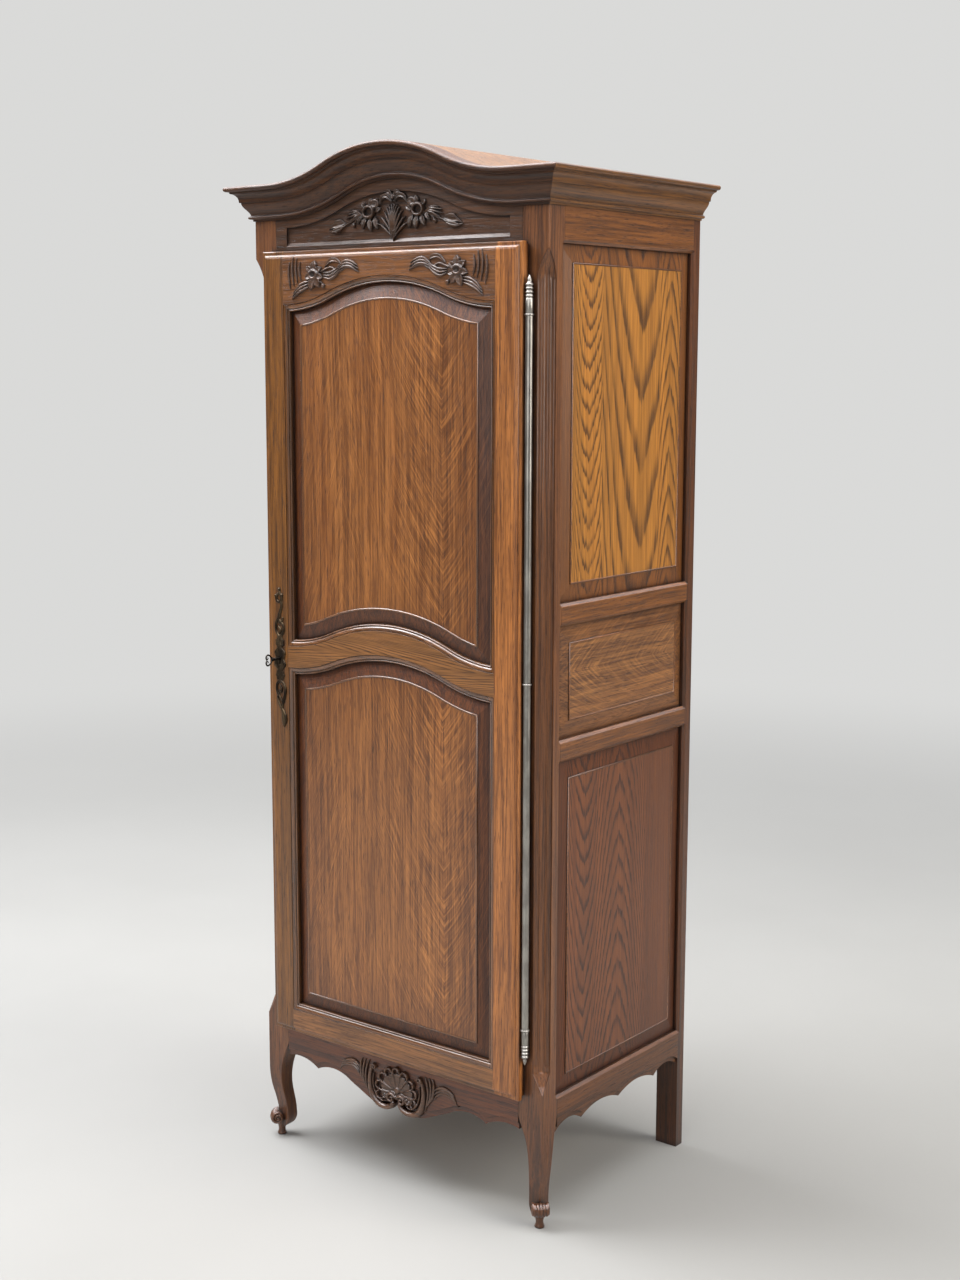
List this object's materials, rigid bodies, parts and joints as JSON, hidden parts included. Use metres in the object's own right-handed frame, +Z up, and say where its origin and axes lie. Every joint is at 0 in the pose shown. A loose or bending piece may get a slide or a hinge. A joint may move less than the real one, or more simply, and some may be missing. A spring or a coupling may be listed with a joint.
{
  "type": "bonnetiere cupboard",
  "caption": "Tall narrow oak cupboard with one framed panel door, arched cornice, cabriole front legs, three shelves, a full-height pin hinge and a turning, withdrawable key.",
  "frame": {"origin": "on the floor, in the middle of the whole piece's bounding box", "axes": "+Z up, +Y from the door towards the back, +X towards the hinge side (the viewer's right, facing the door)"},
  "size_m": [0.776, 0.5516, 1.961],
  "materials": {
    "carcass_oak": "satin",
    "door_frame_oak": "satin",
    "door_panel_oak": "satin",
    "side_panel_oak": "satin",
    "inside_oak": "matte",
    "roof_oak": "matte",
    "hinge_steel": "polished",
    "escutcheon_bronze": "antique",
    "key_iron": "satin",
    "lock_steel": "satin"
  },
  "bodies": {
    "carcass": {"apron_rail": "carcass_oak", "back_bottom_rail": "inside_oak", "back_lower_panel": "inside_oak", "back_middle_rail": "inside_oak", "back_top_rail": "inside_oak", "back_upper_panel": "inside_oak", "ceiling_board": "inside_oak", "cornice_front": "carcass_oak", "cornice_left": "carcass_oak", "cornice_right": "carcass_oak", "floor_board": "inside_oak", "frieze_rail": "carcass_oak", "front_post_left": "carcass_oak", "front_post_right": "carcass_oak", "hinge_barrels": "hinge_steel", "hinge_pin": "hinge_steel", "lock_keeper": "lock_steel", "rear_stile_left": "carcass_oak", "rear_stile_right": "carcass_oak", "roof_panel": "roof_oak", "shelf_cleat_lower_left": "inside_oak", "shelf_cleat_lower_right": "inside_oak", "shelf_cleat_middle_left": "inside_oak", "shelf_cleat_middle_right": "inside_oak", "shelf_cleat_upper_left": "inside_oak", "shelf_cleat_upper_right": "inside_oak", "shelf_lower": "inside_oak", "shelf_middle": "inside_oak", "shelf_upper": "inside_oak", "side_bottom_panel_left": "side_panel_oak", "side_bottom_panel_right": "side_panel_oak", "side_bottom_rail_left": "carcass_oak", "side_bottom_rail_right": "carcass_oak", "side_lower_rail_left": "carcass_oak", "side_lower_rail_right": "carcass_oak", "side_middle_panel_left": "side_panel_oak", "side_middle_panel_right": "side_panel_oak", "side_top_panel_left": "side_panel_oak", "side_top_panel_right": "side_panel_oak", "side_top_rail_left": "carcass_oak", "side_top_rail_right": "carcass_oak", "side_upper_rail_left": "carcass_oak", "side_upper_rail_right": "carcass_oak"},
    "door": {"door_hinge_stile": "door_frame_oak", "door_lock_stile": "door_frame_oak", "door_top_rail": "door_frame_oak", "door_middle_rail": "door_frame_oak", "door_bottom_rail": "door_frame_oak", "door_upper_panel": "door_panel_oak", "door_lower_panel": "door_panel_oak", "escutcheon_plate": "escutcheon_bronze", "lock_case": "lock_steel", "hinge_upper_sleeve": "hinge_steel", "hinge_lower_sleeve": "hinge_steel"},
    "curtain": {"lock_curtain": "lock_steel"},
    "key": {"key": "key_iron"},
    "bolt": {"lock_bolt": "lock_steel"}
  },
  "joints": [
    {"name": "door_hinge", "type": "hinge", "parent": "carcass", "child": "door", "pos_m": [0.3146, -0.22275, 1], "axis": [0, 0, 1], "range_deg": [0, 170]},
    {"name": "key_turn", "type": "hinge", "parent": "door", "child": "curtain", "pos_m": [-0.272, -0.20925, 1.005], "axis": [0, -1, 0], "range_deg": [0, 360]},
    {"name": "key_withdraw", "type": "slide", "parent": "curtain", "child": "key", "axis": [0, -1, 0], "range_m": [0, 0.05]},
    {"name": "bolt_throw", "type": "slide", "parent": "door", "child": "bolt", "axis": [-1, 0, 0], "range_m": [0, 0.01]}
  ],
  "couplings": [
    {"joint": "key_turn", "follows": "bolt_throw", "rad_per_m": 628.31}
  ]
}
